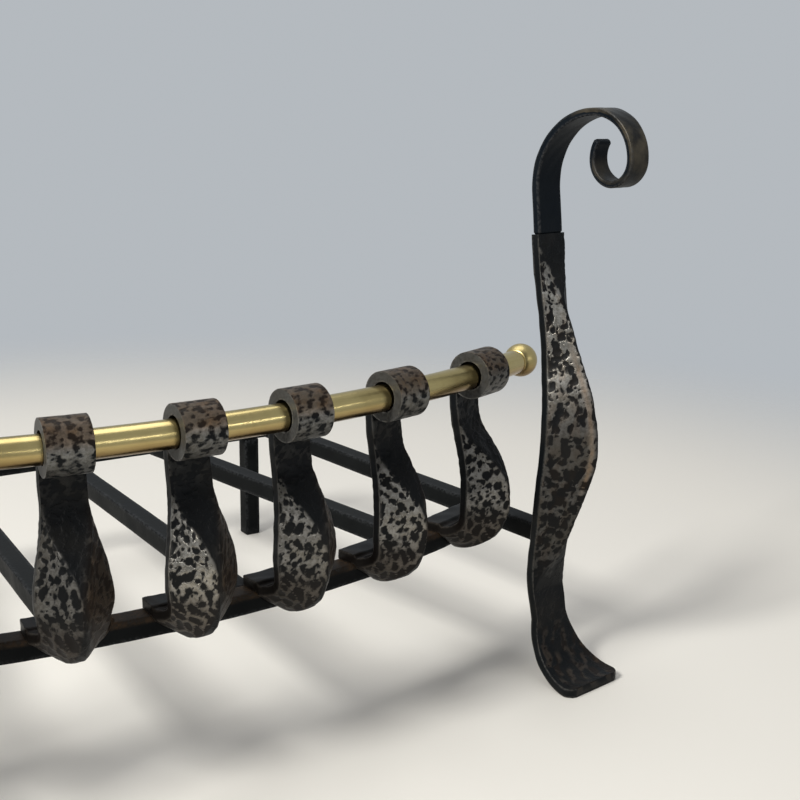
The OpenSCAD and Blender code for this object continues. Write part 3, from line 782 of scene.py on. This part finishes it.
# Heights, place across and width of the warm highlight painted along the ridge.
RIDGE_HIGHLIGHT_START, RIDGE_HIGHLIGHT_END, RIDGE_HIGHLIGHT_X, RIDGE_HIGHLIGHT_WIDE = (0.15, 0.03), (0.265, 0.03), -0.0030, 0.0013
FACET_X, FACET_DRIFT_Z, FACET_DRIFT = -0.0008, 0.334, 0.62


def dog_sheet(seed):
    """One hammered dog in its own plane, as across, forward and up, and its finish's marks. The
    bright facet, brushed and painted with the lamp's highlight, ends at the ridge, further up
    along a line that drifts to its side, and a warm painted highlight follows the ridge."""
    across, girth, along, up = dog_across, dog_girth, dog_along, dog_up
    outer = section_faces(DOG_COUNTS)[0]
    x = girth + 0.0015 * ripple(girth, along, seed)
    x = x + 0.0013 * ripple(girth, along, seed + 5, *DOG_EDGE_WAVES)
    y = along + 0.0016 * ripple(girth, along, seed + 1, *DOG_DRIFT_WAVES)
    large, _ = cells(x, y * 0.95, seed + 2, *DOG_LARGE_PITS)
    small, _ = cells(x, y, seed + 3, *DOG_SMALL_PITS)
    fleck = ease((ripple(x, y, seed + 9, *DOG_FLECK_WAVES) + 0.1) / 0.6)
    facet_end = FACET_X - FACET_DRIFT * np.clip(up - FACET_DRIFT_Z, 0, None)
    on_left = ease((facet_end - across) / 0.002 + 0.5)
    on_right = ease((across - dog_flat) / 0.004 / 2)
    on_foot = 1 - fade(up, *FOOT_END)
    # Brushed band with the painted highlight; the right facet stays dark, partly as painted shade.
    zone = fade(up, *DOG_BRUSH_LIT) * (1 - 0.55 * fade(up, *DOG_BRUSH_LIT_END))
    full = fade(up, *DOG_BRUSH_LIT_FULL)
    # Painted highlight: a warm line along the ridge.
    ridge_highlight = np.exp(-((across - RIDGE_HIGHLIGHT_X) / RIDGE_HIGHLIGHT_WIDE) ** 2)
    ridge_highlight = ridge_highlight * fade(up, *RIDGE_HIGHLIGHT_START) * (1 - fade(up, *RIDGE_HIGHLIGHT_END))
    bright = on_left * zone * (0.22 + 0.78 * full) + 0.15 * zone * on_right
    bright = bright + 0.12 * fleck * on_foot + 0.5 * ridge_highlight
    warm = 0.05 + 0.45 * on_right + 0.5 * on_foot * fleck + 0.5 * ridge_highlight
    warm = warm + on_left * zone * (0.25 * fleck + 0.10 * (1 - full))
    pit = np.minimum(large, small + 0.04) + 0.13 * ripple(x, y, seed + 8, *DOG_PATCH_WAVES)
    pit = pit + 0.35 * ridge_highlight
    dent = DOG_PIT_DEPTH * (1 - fade(pit, -0.30, 0.45)) * outer * fade(up, *PITS_START)
    wave = DOG_HAMMER_DEPTH * ripple(girth, along, seed + 7, *DOG_HAMMER_WAVES)
    across, out = pushed(across, dog_out, wave - dent)
    return across, *off_route(dog_path, out), dict(
        pit=pit * outer + 3 * (1 - outer), bright=np.clip(bright, 0, 1) * outer,
        warm=np.clip(warm, 0, 1) * outer,
        edge=np.broadcast_to(corner_marks(DOG_COUNTS) * 0.4, across.shape))


def at_dog(across, ahead, up, side):
    """From the right-hand dog's own plane to the frame; side -1 gives its mirror image."""
    c, s = np.cos(DOG_TURN), np.sin(DOG_TURN)
    return joined(side * (DOG_X + across * c + ahead * s), DOG_Y + across * s - ahead * c, up)


for node, side, seed in (("dog_left", -1, 400), ("dog_right", 1, 440)):
    across, ahead, up, marks = dog_sheet(seed)
    piece = tube_piece(node + "_leaf", at_dog(across, ahead, up, side))
    put_marks(piece, **marks)
    piece.data.materials.append(hammered_iron)
    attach(piece, "grate")
    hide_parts(node)


# Scrolls. A flat stem is forge-welded to the dog's shoulder, tapers and curls forward over
# itself. It is left smooth and blue-black; the curl carries a bronze sheen, partly its own colour
# and partly painted light.
STEM = 0.0346
CURL_TOP_R, CURL_SIDE_R, CURL_LOW_R, CURL_END_R = 0.0545, 0.0345, 0.018, 0.0193
TIP_R, TIP_TURN = 0.021, np.radians(36)
STEM_WIDE, CURL_WIDE, TIP_WIDE = 0.0135, 0.009975, 0.008  # half widths
STEM_THICK, TAPER = 0.0035, 0.001  # half thickness and what it loses
STRIP_ROUND, END_ROUND, END_STEP = 0.0013, 0.0012, 0.0008
SCROLL_WAVE = 0.00012
# Lengths along the scroll at which the bronze sheen starts or ends, and over which it fades
OUTSIDE_START, OUTSIDE_END = (0.100, 0.025), (0.165, 0.045)
INSIDE_START, INSIDE_END = (0.190, 0.012), (0.225, 0.02)

BLUE_BLACK, BLUE_GREY = (0.0026, 0.0050, 0.0082, 1), (0.0060, 0.0088, 0.0120, 1)
BRONZE_SHEEN_COLOUR, RUBBED_IRON = (0.098, 0.082, 0.057, 1), (0.055, 0.055, 0.055, 1)


def smooth_iron_finish(g, place, shader):
    """Cloudy blue-black. The bronze mark lays a thin metallic bronze sheen over it, partly colour
    and partly painted light, and the rounded edges are rubbed grey in grains."""
    cloud, grain = g.forge_scale(place)
    bronze_sheen = g.mark("bronze_sheen")
    sheen = g.math("MULTIPLY", bronze_sheen, g.span(cloud, 0.36, 0.58, 0.15, 1.0))
    rubbing = g.math("MULTIPLY", g.mark("edge"), g.span(grain, 0.4, 0.62, 0.1, 0.6))
    tone = g.mix(g.span(cloud, 0.35, 0.68), BLUE_BLACK, BLUE_GREY)
    tone = g.mix(rubbing, g.mix(sheen, tone, BRONZE_SHEEN_COLOUR), RUBBED_IRON)
    relief = g.math("ADD", g.math("MULTIPLY", cloud, 2.0), grain)
    g.wire(tone, shader.inputs["Base Color"])
    g.wire(g.math("MULTIPLY_ADD", bronze_sheen, 0.75, 0.05), shader.inputs["Metallic"])
    g.wire(g.span(cloud, 0.3, 0.7, 0.40, 0.55), shader.inputs["Roughness"])
    g.wire(g.bump(relief, 0.25, 0.0005), shader.inputs["Normal"])
    shader.inputs["Specular IOR Level"].default_value = 0.08


smooth_iron = finish_material("smooth iron", smooth_iron_finish)
shoulder_x, shoulder_z, shoulder_turn = dog_path[-1, :3]
start = (shoulder_x - STOCK / 2 * np.sin(shoulder_turn),
         shoulder_z + STOCK / 2 * np.cos(shoulder_turn))
runs = [(STEM, 0), (CURL_TOP_R, -shoulder_turn), (CURL_SIDE_R, -np.pi / 2),
        (CURL_LOW_R, -np.pi / 2), (CURL_END_R, -np.pi / 2), (TIP_R, -TIP_TURN)]
scroll_path = route(start, shoulder_turn, runs, spacing=0.0015)
scroll_s = scroll_path[:, 3]
side_end, tip_s = run_ends(runs)[2], scroll_s[-1]


def scroll_sheet(seed):
    """One scroll in its own plane, as across, forward and up, and its finish's marks. The strip
    tapers in width and thickness, draws in at both ends, and is slightly uneven."""
    drawn_in = END_STEP * (1 - np.minimum(np.minimum(scroll_s, tip_s - scroll_s) / END_ROUND, 1))
    wide = eased(scroll_s, [(0, STEM_WIDE), (STEM, STEM_WIDE), (side_end, CURL_WIDE),
                            (tip_s, TIP_WIDE)])
    thick = STEM_THICK - TAPER * scroll_s / tip_s
    loops, near = rounded_strip(wide - drawn_in, thick - drawn_in, STRIP_ROUND, steps=5,
                                flats=(22, 5))
    across, out = loops[..., 0], loops[..., 1]
    along = np.repeat(scroll_s[:, None], across.shape[1], 1)
    out = out + np.sign(out) * SCROLL_WAVE * ripple(across * 1.3, along * 1.3, seed)
    # Painted sheen: bronze on the outer face of the curl, fainter inside near the tip.
    outside = fade(along, *OUTSIDE_START) * (1 - fade(along, *OUTSIDE_END)) * (out < 0)
    inside = fade(along, *INSIDE_START) * (1 - fade(along, *INSIDE_END)) * (out > 0)
    return across, *off_route(scroll_path, out), dict(
        bronze_sheen=outside + 0.5 * inside, edge=np.broadcast_to(near, across.shape))


for node, side, seed in (("dog_scroll_left", -1, 500), ("dog_scroll_right", 1, 510)):
    across, ahead, up, marks = scroll_sheet(seed)
    piece = tube_piece(node + "_curl", at_dog(across, ahead, up, side))
    put_marks(piece, **marks)
    piece.data.materials.append(smooth_iron)
    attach(piece, "grate")
    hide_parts(node)


# Brass rail. A drawn brass rod, bent to the bow, lies loose in the seven eyes. Its satin
# surface has fine lines along it, and its underside is painted darker as shade.
RAIL_ARC, RAIL_Z, RAIL_HALF = FRONT_R + EYE_U, 0.255188, np.radians(24.5)
RAIL_R, RAIL_CHAMFER, CHAMFER_LENGTH = 0.010, 0.0006, 0.001

BRASS, BRASS_DEEP = (0.56, 0.455, 0.205, 1), (0.44, 0.345, 0.145, 1)
# The last of these is the painted shade on the underside.
BRASS_LINES, BRASS_UNDER_SHADE = (0.30, 0.220, 0.085, 1), (0.12, 0.062, 0.026, 1)


def satin_brass_finish(g, place, shader):
    """Cloudy brass with drawn lines, a noise stretched along the piece. It is painted dark brown as
    shade where the under mark is, and the turned balls are a little duller."""
    cloud, grain = g.forge_scale(place)
    line = g.add("CombineXYZ")
    g.wire(g.math("MULTIPLY", g.mark("along"), 6.0), line.inputs[0])
    g.wire(g.math("MULTIPLY", g.mark("round"), 90.0), line.inputs[1])
    drawn = g.noise(line.outputs[0], 3.0, 3.0, 0.6)
    satin = g.math("MULTIPLY_ADD", g.mark("turned"), 0.14, 0.15)
    tone = g.mix(g.span(cloud, 0.35, 0.7), BRASS, BRASS_DEEP)
    tone = g.mix(g.math("MULTIPLY", g.span(drawn, 0.4, 0.68), 0.45), tone, BRASS_LINES)
    # Painted shade: darker brown towards the underside.
    tone = g.mix(g.math("MULTIPLY", g.mark("under"), 0.75), tone, BRASS_UNDER_SHADE)
    relief = g.math("ADD", drawn, g.math("MULTIPLY", grain, 0.4))
    g.wire(tone, shader.inputs["Base Color"])
    g.wire(g.math("MULTIPLY_ADD", drawn, 0.16, satin), shader.inputs["Roughness"])
    g.wire(g.bump(relief, 0.08, 0.0003), shader.inputs["Normal"])
    shader.inputs["Metallic"].default_value = 1.0


satin_brass = finish_material("satin brass", satin_brass_finish)


def brass_piece(node, profile, cols, place, turned):
    """Surface of revolution: profile gives (distance along the axis, radius) and place() puts
    a distance, an outward offset and an upward offset into the frame."""
    angle = np.linspace(0, 2 * np.pi, cols, endpoint=False)
    dist, radius = np.repeat(profile[:, :1], cols, 1), profile[:, 1:]
    full = np.ones(dist.shape)
    grid = place(dist, radius * np.cos(angle), radius * np.sin(angle))
    piece = tube_piece(node + "_turned", grid)
    # The under mark grows towards the underside, where shade is painted.
    put_marks(piece, along=dist, turned=turned * full, round=np.abs(angle - np.pi) / np.pi * full,
              under=ease((0.22 - np.sin(angle)) / 0.9) * full)
    piece.data.materials.append(satin_brass)
    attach(piece, "rail")
    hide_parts(node)


def along_rail(dist, out, up):
    """Round the bow's centre by distance over radius, at that radius plus the offset."""
    angle, r = dist / RAIL_ARC, RAIL_ARC + out
    return joined(r * np.sin(angle), ARC_Y - r * np.cos(angle), RAIL_Z + up)


length = RAIL_ARC * RAIL_HALF
stations = np.linspace(-length, length, 360)
radius = RAIL_R - RAIL_CHAMFER * np.clip(1 - (length - np.abs(stations)) / CHAMFER_LENGTH, 0, 1)
brass_piece("brass_rail", joined(stations, radius), 48, along_rail, turned=0.0)


# Rail balls. A turned brass ball is fixed on each end of the rod and seats on its end face, so
# its surface starts at a circle of the rod's own radius.
BALL_R, BALL_SEAT = 0.014, 0.009798  # its middle stands a seat beyond the rod's end
BALL_POLE = 0.002  # angle at which the last round closes


def beyond_end(side):
    """Gives the place() of one ball: the rail's end point, plus the distance along the tangent
    there and the offset along the radius; side -1 gives the left end."""
    def place(dist, out, up):
        """One point of the ball, put into the frame."""
        c, s, r = np.cos(RAIL_HALF), np.sin(RAIL_HALF), RAIL_ARC + out
        return joined(side * (r * s + dist * c), ARC_Y - r * c + dist * s, RAIL_Z + up)
    return place


theta = np.linspace(np.arccos(-BALL_SEAT / BALL_R), BALL_POLE, 60)
ball = joined(BALL_SEAT + BALL_R * np.cos(theta), BALL_R * np.sin(theta))
for node, side in (("rail_ball_left", -1), ("rail_ball_right", 1)):
    brass_piece(node, ball, 64, beyond_end(side), turned=1.0)


# Setting. A pale floor and soft light: a window at the upper left, the ceiling, and a long low
# strip in front that draws a line of light along the rail. The camera and reflections see a
# paler surrounding than the one that lights the grate.
FLOOR_COLOUR, FLOOR_SIZE = (0.83, 0.805, 0.74, 1), 6
DIM, PALE = (0.19, 0.19, 0.20, 1), (0.46, 0.49, 0.52, 1)


def floor_finish(g, place, shader):
    """Matt and pale, and fading to clear with the distance from the middle."""
    shader.inputs["Base Color"].default_value = FLOOR_COLOUR
    shader.inputs["Roughness"].default_value = 0.7
    away = g.add("VectorMath", operation="LENGTH")
    g.wire(place, away.inputs[0])
    g.wire(g.span(away.outputs["Value"], 0.75, 1.6, 1.0, 0.0), shader.inputs["Alpha"])


floor = bpy.data.objects.new("floor", bpy.data.meshes.new("floor"))
floor.data.from_pydata([(x * FLOOR_SIZE, y * FLOOR_SIZE, 0)
                        for x, y in ((-1, -1), (1, -1), (1, 1), (-1, 1))], [], [(0, 1, 2, 3)])
floor.data.materials.append(finish_material("pale floor", floor_finish))
scene.collection.objects.link(floor)


def lamp(name, place, aim, size, power, colour=(1, 1, 1)):
    """Rectangular lamp at a place, its face turned to the point that it aims at."""
    light = bpy.data.lights.new(name, "AREA")
    light.shape, light.size, light.size_y = "RECTANGLE", *size
    light.energy, light.color = power, colour
    lamp_object = bpy.data.objects.new(name, light)
    lamp_object.location = place
    aimed = (Vector(aim) - Vector(place)).to_track_quat("-Z", "Y")
    lamp_object.rotation_euler = aimed.to_euler()
    scene.collection.objects.link(lamp_object)


lamp("window", (-1.7, -0.5, 1.8), (0.1, -0.1, 0.15), (0.7, 0.6), 60, (1.0, 0.985, 0.955))
lamp("ceiling", (0.3, 0.6, 2.6), (0.0, 0.0, 0.1), (1.8, 1.8), 24)
lamp("strip", (0.9, -2.3, 0.9), (0.1, -0.1, 0.2), (2.2, 0.07), 6, (0.97, 0.98, 1.0))

world = bpy.data.worlds.new("room")
world.use_nodes = True
world.node_tree.nodes.clear()
scene.world = world
g = Graph(world.node_tree)
background, ray = g.add("Background"), g.add("LightPath")
seen = g.math("MAXIMUM", ray.outputs["Is Camera Ray"], ray.outputs["Is Glossy Ray"])
seen = g.math("MAXIMUM", seen, ray.outputs["Is Transmission Ray"])
background.inputs["Strength"].default_value = 1.0
g.wire(g.mix(seen, DIM, PALE), background.inputs["Color"])
g.wire(background.outputs[0], g.add("OutputWorld").inputs[0])
